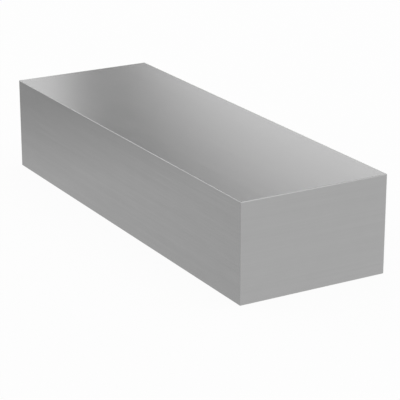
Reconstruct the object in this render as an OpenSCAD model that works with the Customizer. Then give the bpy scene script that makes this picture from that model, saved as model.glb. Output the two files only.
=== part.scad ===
// Cold-drawn steel flat bar, sawn to length and deburred.
// One solid: the length runs along X, the width along Y and the thickness along Z.
// The origin is the middle of the wide face that the bar lies on.

/* [Bar] */
// Length between the two sawn ends
bar_length = 152.4; // [50:0.1:1000]
// Width across the wide faces
bar_width = 50.8; // [15:0.1:250]
// Thickness between the wide faces
bar_thickness = 31.75; // [6:0.05:120]

/* [Edges] */
// Radius that the drawing die leaves along the four long edges
corner_radius = 0.2; // [0.05:0.05:2.5]
// Leg of the deburring chamfer round each sawn end
end_chamfer = 0.25; // [0.05:0.05:2.5]

/* [Hidden] */
// Segments of a full circle in the drawn corners
$fn = 96;
// How far a shape that trims the bar runs past the faces that it doesn't cut
trim_margin = 1;

// Section as it leaves the die: width along X, thickness along Y, centred, with round corners
module drawn_section() {
    flat_width = bar_width - 2 * corner_radius;
    flat_thickness = bar_thickness - 2 * corner_radius;
    square([flat_width, bar_thickness], center = true);
    square([bar_width, flat_thickness], center = true);
    for (side = [-1, 1], level = [-1, 1])
        translate([side * flat_width / 2, level * flat_thickness / 2])
            circle(r = corner_radius);
}

// Outline of the bar square to two opposite long faces that lie a depth apart:
// a rectangle whose corners the deburring cuts off at 45 degrees
module deburred_outline(depth) {
    end_x = bar_length / 2;
    shoulder_x = end_x - end_chamfer;
    face_y = depth / 2;
    shoulder_y = face_y - end_chamfer;
    polygon([
        [end_x, -shoulder_y], [end_x, shoulder_y],
        [shoulder_x, face_y], [-shoulder_x, face_y],
        [-end_x, shoulder_y], [-end_x, -shoulder_y],
        [-shoulder_x, -face_y], [shoulder_x, -face_y]
    ]);
}

// The drawn section run out along the length, then cut and deburred at both ends
module flat_bar() {
    color("darkgray")
        translate([0, 0, bar_thickness / 2])
            intersection() {
                rotate([90, 0, 90])
                    linear_extrude(height = bar_length + 2 * trim_margin, center = true)
                        drawn_section();
                linear_extrude(height = bar_thickness + 2 * trim_margin, center = true)
                    deburred_outline(bar_width);
                rotate([90, 0, 0])
                    linear_extrude(height = bar_width + 2 * trim_margin, center = true)
                        deburred_outline(bar_thickness);
            }
}

flat_bar();
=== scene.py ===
"""Looks of the steel flat bar: its finely edged mesh, its drawn and sawn finish, and a plain studio."""

import math
from collections import namedtuple

import bpy
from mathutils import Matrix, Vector


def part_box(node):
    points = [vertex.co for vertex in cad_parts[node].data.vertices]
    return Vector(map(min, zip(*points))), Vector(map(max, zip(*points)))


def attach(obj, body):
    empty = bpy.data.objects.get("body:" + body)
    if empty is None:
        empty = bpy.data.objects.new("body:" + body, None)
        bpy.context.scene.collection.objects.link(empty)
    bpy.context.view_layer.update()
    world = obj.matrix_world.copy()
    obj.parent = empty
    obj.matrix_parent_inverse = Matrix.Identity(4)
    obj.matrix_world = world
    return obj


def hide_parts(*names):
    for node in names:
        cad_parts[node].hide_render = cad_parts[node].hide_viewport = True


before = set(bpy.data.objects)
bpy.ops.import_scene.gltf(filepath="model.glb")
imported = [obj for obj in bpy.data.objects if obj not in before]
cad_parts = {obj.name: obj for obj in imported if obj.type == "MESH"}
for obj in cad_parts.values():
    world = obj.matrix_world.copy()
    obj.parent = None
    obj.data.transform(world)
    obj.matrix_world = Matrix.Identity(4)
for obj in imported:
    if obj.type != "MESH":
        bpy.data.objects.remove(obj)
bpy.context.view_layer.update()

MM = 0.001

# Sizes of the bar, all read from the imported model
bar_low, bar_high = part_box("flat_bar")
bar_size = bar_high - bar_low
bar_middle = (bar_low + bar_high) / 2


def measured_edges(node):
    """Radius of the long edges and leg of the end chamfers, from the reach of the node's flat top."""
    tolerance = 0.001 * MM
    flat_top = [v.co for v in node.data.vertices if abs(v.co.z - bar_high.z) < tolerance]
    radius = bar_high.y - max(point.y for point in flat_top)
    chamfer = bar_high.x - max(point.x for point in flat_top)
    return radius, chamfer


corner_radius, end_chamfer = measured_edges(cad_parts["flat_bar"])

# Fineness of the bar's mesh: steps round each long edge, and steps along the length
ARC_STEPS = 8
LENGTH_STEPS = 24
# Faces that meet at more than this many degrees keep a sharp edge between them
SHARP_ANGLE = 20
# Gap between the parts of the unrolled surface on its texture map
MAP_GAP = 2 * MM
# The four corners of the section, in turn round it, as the signs of Y and Z
CORNERS = [(1, 1), (-1, 1), (-1, -1), (1, -1)]


def section_ring():
    """Points round the section as (y, z, outward angle, way round), corner by corner from the back top."""
    ring = []
    way = 0.0
    for corner, (side_y, side_z) in enumerate(CORNERS):
        centre_y = bar_middle.y + side_y * (bar_size.y / 2 - corner_radius)
        centre_z = bar_middle.z + side_z * (bar_size.z / 2 - corner_radius)
        for step in range(ARC_STEPS + 1):
            angle = math.radians(90) * (corner + step / ARC_STEPS)
            y = centre_y + corner_radius * math.cos(angle)
            z = centre_z + corner_radius * math.sin(angle)
            if ring:
                way += math.hypot(y - ring[-1][0], z - ring[-1][1])
            ring.append((y, z, angle, way))
    return ring


def shoulder_reach(y, z):
    """Half length of the drawn skin at a point of the section, where the end chamfer starts."""
    depth_y = bar_size.y / 2 - abs(y - bar_middle.y)
    depth_z = bar_size.z / 2 - abs(z - bar_middle.z)
    return bar_size.x / 2 - end_chamfer + min(depth_y, depth_z)


def add_face(shell, corners, normals, places):
    """One face of the shell: its vertices, the normal at each and where each lies on the texture map."""
    shell["faces"].append(corners)
    shell["normals"] += normals
    shell["places"] += places


def add_skin(shell, ring):
    """The drawn skin: four flats and four round long edges, from shoulder to shoulder."""
    count = len(ring)
    full_way = ring[-1][3] + bar_size.z - 2 * corner_radius
    for station in range(LENGTH_STEPS + 1):
        along = 2 * station / LENGTH_STEPS - 1
        for y, z, _, _ in ring:
            shell["vertices"].append((bar_middle.x + along * shoulder_reach(y, z), y, z))
    for station in range(LENGTH_STEPS):
        for i in range(count):
            j = (i + 1) % count
            corners = [station * count + i, station * count + j]
            corners += [corner + count for corner in reversed(corners)]
            outward = [Vector((0, math.cos(ring[k][2]), math.sin(ring[k][2]))) for k in (i, j, j, i)]
            ways = [ring[i][3], ring[j][3] if j else full_way]
            ways += reversed(ways)
            places = [(way, shell["vertices"][k][0] - bar_low.x) for way, k in zip(ways, corners)]
            add_face(shell, corners, outward, places)


def add_end(shell, end, shoulder, map_left):
    """A sawn end and the chamfers round it, at the end of the skin whose ring starts at shoulder."""
    first = len(shell["vertices"])
    for side_y, side_z in CORNERS:
        shell["vertices"].append((
            bar_middle.x + end * bar_size.x / 2,
            bar_middle.y + side_y * (bar_size.y / 2 - end_chamfer),
            bar_middle.z + side_z * (bar_size.z / 2 - end_chamfer),
        ))

    def mapped(corners):
        points = [shell["vertices"][k] for k in corners]
        floor_of_map = bar_size.x + MAP_GAP
        return [(map_left + y - bar_low.y, floor_of_map + z - bar_low.z) for _, y, z in points]

    per_corner = ARC_STEPS + 1
    for corner in range(4):
        after = (corner + 1) % 4
        leaving = [shoulder + corner * per_corner + k for k in range(ARC_STEPS // 2, per_corner)]
        arriving = [shoulder + after * per_corner + k for k in range(ARC_STEPS // 2 + 1)]
        outline = [first + corner] + leaving + arriving + [first + after]
        outline = outline[::end]
        angle = math.radians(90) * (corner + 1)
        slope = Vector((end, math.cos(angle), math.sin(angle))).normalized()
        add_face(shell, outline, [slope] * len(outline), mapped(outline))
    face = [first + corner for corner in range(4)][::end]
    add_face(shell, face, [Vector((end, 0, 0))] * 4, mapped(face))


def build_bar():
    """The bar as one closed mesh with exact normals and a texture map of its unrolled surface."""
    ring = section_ring()
    shell = {"vertices": [], "faces": [], "normals": [], "places": []}
    add_skin(shell, ring)
    add_end(shell, -1, 0, 0.0)
    add_end(shell, 1, LENGTH_STEPS * len(ring), bar_size.y + MAP_GAP)

    mesh = bpy.data.meshes.new("drawn_bar")
    mesh.from_pydata(shell["vertices"], [], shell["faces"])
    mesh.polygons.foreach_set("use_smooth", [True] * len(mesh.polygons))
    mesh.set_sharp_from_angle(angle=math.radians(SHARP_ANGLE))
    mesh.normals_split_custom_set(shell["normals"])
    unrolled = mesh.uv_layers.new(name="OFBake")
    map_side = bar_size.x + bar_size.z + 3 * MAP_GAP
    for corner, (u, v) in zip(unrolled.data, shell["places"]):
        corner.uv = ((u + MAP_GAP) / map_side, (v + MAP_GAP) / map_side)
    mesh.update()
    bar = bpy.data.objects.new("drawn_bar", mesh)
    bpy.context.scene.collection.objects.link(bar)
    return bar


# Shader helpers


def add_node(tree, kind, inputs=None, **settings):
    """A new node with its settings; an input that is a socket gets linked, any other is a value."""
    node = tree.nodes.new(kind)
    for name, value in settings.items():
        setattr(node, name, value)
    for key, value in (inputs or {}).items():
        if isinstance(value, bpy.types.NodeSocket):
            tree.links.new(value, node.inputs[key])
        else:
            node.inputs[key].default_value = value
    return node


def calculate(tree, operation, first, second=0.0):
    """The result of one sum on sockets or numbers."""
    return add_node(tree, "ShaderNodeMath", {0: first, 1: second}, operation=operation).outputs[0]


def remap(tree, value, low, high, to_low, to_high):
    """value moved from one range to another, and held inside it."""
    node = add_node(tree, "ShaderNodeMapRange", {
        "Value": value,
        "From Min": low,
        "From Max": high,
        "To Min": to_low,
        "To Max": to_high,
    })
    return node.outputs["Result"]


def blend_values(tree, share, first, second):
    """first where share is 0, second where it is 1."""
    node = add_node(tree, "ShaderNodeMix", {"Factor": share, "A": first, "B": second}, data_type="FLOAT")
    return node.outputs["Result"]


# Most of the noise lies between these two values
NOISE_LOW = 0.25
NOISE_HIGH = 0.75


def grain(tree, place, mark):
    """Noise from -1 to 1 in cells of the mark's size."""
    stretched = add_node(tree, "ShaderNodeVectorMath", {
        0: place,
        1: [1 / side for side in mark.cell],
    }, operation="MULTIPLY")
    node = add_node(tree, "ShaderNodeTexNoise", {
        "Vector": stretched.outputs["Vector"],
        "Scale": 1.0,
        "Detail": mark.detail,
    })
    return remap(tree, node.outputs["Fac"], NOISE_LOW, NOISE_HIGH, -1.0, 1.0)


def new_material(name):
    """An empty node material and its tree."""
    material = bpy.data.materials.new(name)
    material.use_nodes = True
    material.node_tree.nodes.clear()
    return material, material.node_tree


# Steel finish: greys are linear reflectances, lengths are metres
MICRON = 0.001 * MM
SKIN_GREY = 0.30
# Painted light in part: the ends' lighter grey is their sawn finish and also stands in for more light falling
# on the ends
SAWN_AND_LIT_GREY = 0.402
SKIN_ROUGHNESS = 0.23
SAWN_ROUGHNESS = 0.31
# A kind of mark: the size of its cells along X, Y and Z, its octaves of finer noise,
# and how much it changes the grey, the roughness and the height
Mark = namedtuple("Mark", "cell detail grey roughness height")
# Hair lines and streaks left by the die, marks of the saw, and smudges of handling, which have no height
HAIR_LINE = Mark((25 * MM, 0.35 * MM, 0.35 * MM), 3.0, 0.010, 0.012, 0.3 * MICRON)
STREAK = Mark((200 * MM, 2.5 * MM, 2.5 * MM), 2.0, 0.006, 0.006, 1.5 * MICRON)
SAW_MARK = Mark((20 * MM, 60 * MM, 0.8 * MM), 1.0, 0.008, 0.015, 1.0 * MICRON)
SMUDGE = Mark((8 * MM, 5 * MM, 5 * MM), 4.0, 0.005, 0.010, 0.0)
# The sawn finish covers the ends and, down to these depths from them, fades out on the chamfers; there the
# grey is lighter, partly for the finish and partly as painted light for more light falling on the ends
SAWN_AND_LIT_FULL = 0.5 * end_chamfer
SAWN_AND_LIT_NONE = 0.9 * end_chamfer
# How far from an edge the steel is lighter, rubbed bright and with a painted highlight, what that adds, and
# its least share where smudges are low
WEAR_AND_HIGHLIGHT_REACH = 0.4 * MM
WEAR_AND_HIGHLIGHT_GREY = 0.015
WEAR_ROUGHNESS = -0.02
WEAR_AND_HIGHLIGHT_LEAST = 0.4
# Smudge values between which the wear and painted highlight go from their least share to all of them
WEAR_AND_HIGHLIGHT_SMUDGE = 0.6


def depths_below(tree, place):
    """How far a place lies inside the bar's box, along X, Y and Z."""
    centred = add_node(tree, "ShaderNodeVectorMath", {0: place, 1: bar_middle}, operation="SUBTRACT")
    split = add_node(tree, "ShaderNodeSeparateXYZ", {"Vector": centred.outputs["Vector"]})
    depths = []
    for axis, half in zip("XYZ", bar_size / 2):
        depths.append(calculate(tree, "SUBTRACT", half, calculate(tree, "ABSOLUTE", split.outputs[axis])))
    return depths


def edge_nearness(tree, depths):
    """1 on an edge of the bar, falling to 0 at the reach of the wear and painted highlight: the middle one of
    the depths tells.
    """
    nearer = calculate(tree, "MINIMUM", depths[0], depths[1])
    farther = calculate(tree, "MAXIMUM", depths[0], depths[1])
    middle = calculate(tree, "MAXIMUM", nearer, calculate(tree, "MINIMUM", farther, depths[2]))
    return remap(tree, middle, 0.0, WEAR_AND_HIGHLIGHT_REACH, 1.0, 0.0)


def scaled_sum(tree, base, *terms):
    """base plus each (socket, weight) term."""
    total = base
    for socket, weight in terms:
        total = calculate(tree, "ADD", total, calculate(tree, "MULTIPLY", socket, weight))
    return total


def steel_material():
    """Bright drawn steel: lines along the skin, saw marks on the ends and chamfers, ends lighter from their
    finish and painted light, edges lighter from rubbing and a painted highlight.
    """
    material, tree = new_material("bright_steel")
    place = add_node(tree, "ShaderNodeTexCoord").outputs["Object"]
    hair = grain(tree, place, HAIR_LINE)
    streak = grain(tree, place, STREAK)
    saw = grain(tree, place, SAW_MARK)
    smudge = grain(tree, place, SMUDGE)
    depths = depths_below(tree, place)
    sawn_and_lit_end = remap(tree, depths[0], SAWN_AND_LIT_FULL, SAWN_AND_LIT_NONE, 1.0, 0.0)
    patches = remap(tree, smudge, -WEAR_AND_HIGHLIGHT_SMUDGE, WEAR_AND_HIGHLIGHT_SMUDGE, WEAR_AND_HIGHLIGHT_LEAST, 1.0)
    # Painted highlight in part: the edges' lighter grey shows rubbing and also strengthens their bright lines
    wear_and_highlight = calculate(tree, "MULTIPLY", edge_nearness(tree, depths), patches)

    skin_grey = scaled_sum(tree, SKIN_GREY,
                           (hair, HAIR_LINE.grey), (streak, STREAK.grey), (smudge, SMUDGE.grey))
    # Painted light in part: the ends' grey is lighter than the skin's for their finish and for more light
    # falling on them
    sawn_and_lit_grey = scaled_sum(tree, SAWN_AND_LIT_GREY, (saw, SAW_MARK.grey), (smudge, SMUDGE.grey))
    grey = scaled_sum(tree, blend_values(tree, sawn_and_lit_end, skin_grey, sawn_and_lit_grey), (wear_and_highlight, WEAR_AND_HIGHLIGHT_GREY))

    skin_rough = scaled_sum(tree, SKIN_ROUGHNESS,
                            (hair, HAIR_LINE.roughness), (streak, STREAK.roughness),
                            (smudge, SMUDGE.roughness))
    sawn_rough = scaled_sum(tree, SAWN_ROUGHNESS, (saw, SAW_MARK.roughness), (smudge, SMUDGE.roughness))
    roughness = scaled_sum(tree, blend_values(tree, sawn_and_lit_end, skin_rough, sawn_rough), (wear_and_highlight, WEAR_ROUGHNESS))

    skin_height = scaled_sum(tree, 0.0, (hair, HAIR_LINE.height), (streak, STREAK.height))
    sawn_height = calculate(tree, "MULTIPLY", saw, SAW_MARK.height)
    bump = add_node(tree, "ShaderNodeBump", {
        "Strength": 1.0,
        "Distance": 1.0,
        "Height": blend_values(tree, sawn_and_lit_end, skin_height, sawn_height),
    })

    shader = add_node(tree, "ShaderNodeBsdfPrincipled", {
        "Base Color": grey,
        "Metallic": 1.0,
        "Roughness": roughness,
        "Normal": bump.outputs["Normal"],
    })
    add_node(tree, "ShaderNodeOutputMaterial", {"Surface": shader.outputs["BSDF"]})
    return material


# Studio


def direction(azimuth, elevation):
    """Unit vector from the bar at an azimuth from +X and an elevation, in degrees."""
    a = math.radians(azimuth)
    e = math.radians(elevation)
    return Vector((math.cos(a) * math.cos(e), math.sin(a) * math.cos(e), math.sin(e)))


FLOOR_SIDE = 12.0
FLOOR_GREY = 0.9
# Share of the floor's look that is plain white; the rest takes light and shadow
GLOW_SHARE = 0.95
# Painted shade: the paper's tone, as the steel mirrors it, falls off to the left of the picture over this
# stretch, standing in for light falling off there
FADE_AZIMUTH = 217
FADE_START = 61 * MM
FADE_END = 158 * MM
FADE_TONE = 0.7


def floor_material():
    """Pale paper that the camera sees as white, and the steel as fading with painted shade, and that keeps a
    faint shadow.
    """
    material, tree = new_material("pale_paper")
    path = add_node(tree, "ShaderNodeLightPath").outputs
    place = add_node(tree, "ShaderNodeTexCoord").outputs["Object"]
    aside = add_node(tree, "ShaderNodeVectorMath", {
        0: place,
        1: direction(FADE_AZIMUTH, 0),
    }, operation="DOT_PRODUCT").outputs["Value"]
    # Painted shade: the floor as the steel mirrors it grows darker to the left, standing in for light that
    # falls off there
    painted_falloff = remap(tree, aside, FADE_START, FADE_END, 1.0, FADE_TONE)
    tone = calculate(tree, "MAXIMUM", painted_falloff, path["Is Camera Ray"])
    paper = add_node(tree, "ShaderNodeBsdfDiffuse", {"Color": calculate(tree, "MULTIPLY", tone, FLOOR_GREY)})
    glow = add_node(tree, "ShaderNodeEmission", {"Color": tone, "Strength": 1.0})
    seen = calculate(tree, "MAXIMUM", path["Is Camera Ray"], path["Is Glossy Ray"])
    seen = calculate(tree, "MAXIMUM", seen, path["Is Transmission Ray"])
    mix = add_node(tree, "ShaderNodeMixShader", {
        "Fac": calculate(tree, "MULTIPLY", seen, GLOW_SHARE),
        1: paper.outputs["BSDF"],
        2: glow.outputs["Emission"],
    })
    add_node(tree, "ShaderNodeOutputMaterial", {"Surface": mix.outputs["Shader"]})
    return material


def build_floor():
    """The pale floor that the bar lies on."""
    half = FLOOR_SIDE / 2
    mesh = bpy.data.meshes.new("studio_floor")
    corners = [(x * half, y * half, bar_low.z) for x, y in ((-1, -1), (1, -1), (1, 1), (-1, 1))]
    mesh.from_pydata(corners, [], [(0, 1, 2, 3)])
    mesh.materials.append(floor_material())
    floor = bpy.data.objects.new("studio_floor", mesh)
    bpy.context.scene.collection.objects.link(floor)


# The world is a nearly white backdrop up to one height, and a dim dome from another: sines of elevation
BACKDROP_LEVEL = 0.98
BACKDROP_TOP = 0.12
DOME_FOOT = 0.20
DOME_LEVEL = 0.43


def build_world():
    """A nearly white backdrop along the horizon under an even, dim dome."""
    world = bpy.data.worlds.new("studio_world")
    world.use_nodes = True
    tree = world.node_tree
    tree.nodes.clear()
    toward = add_node(tree, "ShaderNodeTexCoord").outputs["Generated"]
    height = add_node(tree, "ShaderNodeSeparateXYZ", {"Vector": toward}).outputs["Z"]
    tone = remap(tree, height, BACKDROP_TOP, DOME_FOOT, BACKDROP_LEVEL, DOME_LEVEL)
    backdrop = add_node(tree, "ShaderNodeBackground", {"Color": tone, "Strength": 1.0})
    add_node(tree, "ShaderNodeOutputWorld", {"Surface": backdrop.outputs["Background"]})
    bpy.context.scene.world = world


def softbox(name, shape, azimuth, elevation, distance, width, height, radiance):
    """A soft lamp of even radiance that faces the bar."""
    data = bpy.data.lights.new(name, "AREA")
    data.shape = shape
    data.size = width
    data.size_y = height
    area = width * height * (1 if shape == "RECTANGLE" else math.pi / 4)
    data.energy = math.pi * area * radiance
    lamp = bpy.data.objects.new(name, data)
    away = direction(azimuth, elevation)
    lamp.location = bar_middle + distance * away
    lamp.rotation_mode = "QUATERNION"
    lamp.rotation_quaternion = away.to_track_quat("Z", "Y")
    bpy.context.scene.collection.objects.link(lamp)


# Places of the softboxes in degrees and metres; the lower part of the right one lies below the floor
LAMP_DISTANCE = 2.0
LEFT_AZIMUTH = 163.2
LEFT_ELEVATION = 18.1
LEFT_WIDTH = 0.5
LEFT_HEIGHT = 0.42
LEFT_RADIANCE = 1.2
SIDE_AZIMUTH = 209
SIDE_ELEVATION = 20
SIDE_WIDTH = 1.2
SIDE_HEIGHT = 1.45
SIDE_RADIANCE = 2.0
RIGHT_AZIMUTH = 126.5
RIGHT_ELEVATION = 7.5
RIGHT_WIDTH = 2.0
RIGHT_HEIGHT = 1.35
RIGHT_RADIANCE = 1.18
OVERHEAD_DISTANCE = 1.5
OVERHEAD_AZIMUTH = 60
OVERHEAD_ELEVATION = 70
OVERHEAD_SIDE = 1.4
OVERHEAD_RADIANCE = 1.08


def build_lamps():
    """Softboxes behind the bar on the left and low on the right, one at its left side and one overhead."""
    softbox("left_softbox", "RECTANGLE", LEFT_AZIMUTH, LEFT_ELEVATION, LAMP_DISTANCE,
            LEFT_WIDTH, LEFT_HEIGHT, LEFT_RADIANCE)
    softbox("side_softbox", "RECTANGLE", SIDE_AZIMUTH, SIDE_ELEVATION, LAMP_DISTANCE,
            SIDE_WIDTH, SIDE_HEIGHT, SIDE_RADIANCE)
    softbox("right_softbox", "ELLIPSE", RIGHT_AZIMUTH, RIGHT_ELEVATION, LAMP_DISTANCE,
            RIGHT_WIDTH, RIGHT_HEIGHT, RIGHT_RADIANCE)
    softbox("overhead_softbox", "RECTANGLE", OVERHEAD_AZIMUTH, OVERHEAD_ELEVATION, OVERHEAD_DISTANCE,
            OVERHEAD_SIDE, OVERHEAD_SIDE, OVERHEAD_RADIANCE)


# Sensor and lens in millimetres, as Blender takes them
SENSOR_WIDTH = 36.0
CAMERA_LENS = 150.0
CAMERA_CLIP = 10 * MM
CAMERA_AZIMUTH = -30
CAMERA_ELEVATION = 19.18
CAMERA_DISTANCE = 549.4 * MM
CAMERA_AIM = Vector((5.17, 2.23, 6.21)) * MM


def build_camera():
    """The camera at the photograph's viewing angle."""
    data = bpy.data.cameras.new("camera")
    data.sensor_width = SENSOR_WIDTH
    data.lens = CAMERA_LENS
    data.clip_start = CAMERA_CLIP
    camera = bpy.data.objects.new("camera", data)
    back = direction(CAMERA_AZIMUTH, CAMERA_ELEVATION)
    camera.location = CAMERA_AIM + CAMERA_DISTANCE * back
    camera.rotation_mode = "QUATERNION"
    camera.rotation_quaternion = back.to_track_quat("Z", "Y")
    bpy.context.scene.collection.objects.link(camera)
    bpy.context.scene.camera = camera


build_camera()
bar = build_bar()
bar.data.materials.append(steel_material())
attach(bar, "root")
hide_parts("flat_bar")

build_floor()
build_world()
build_lamps()
bpy.context.scene.view_settings.view_transform = "Standard"
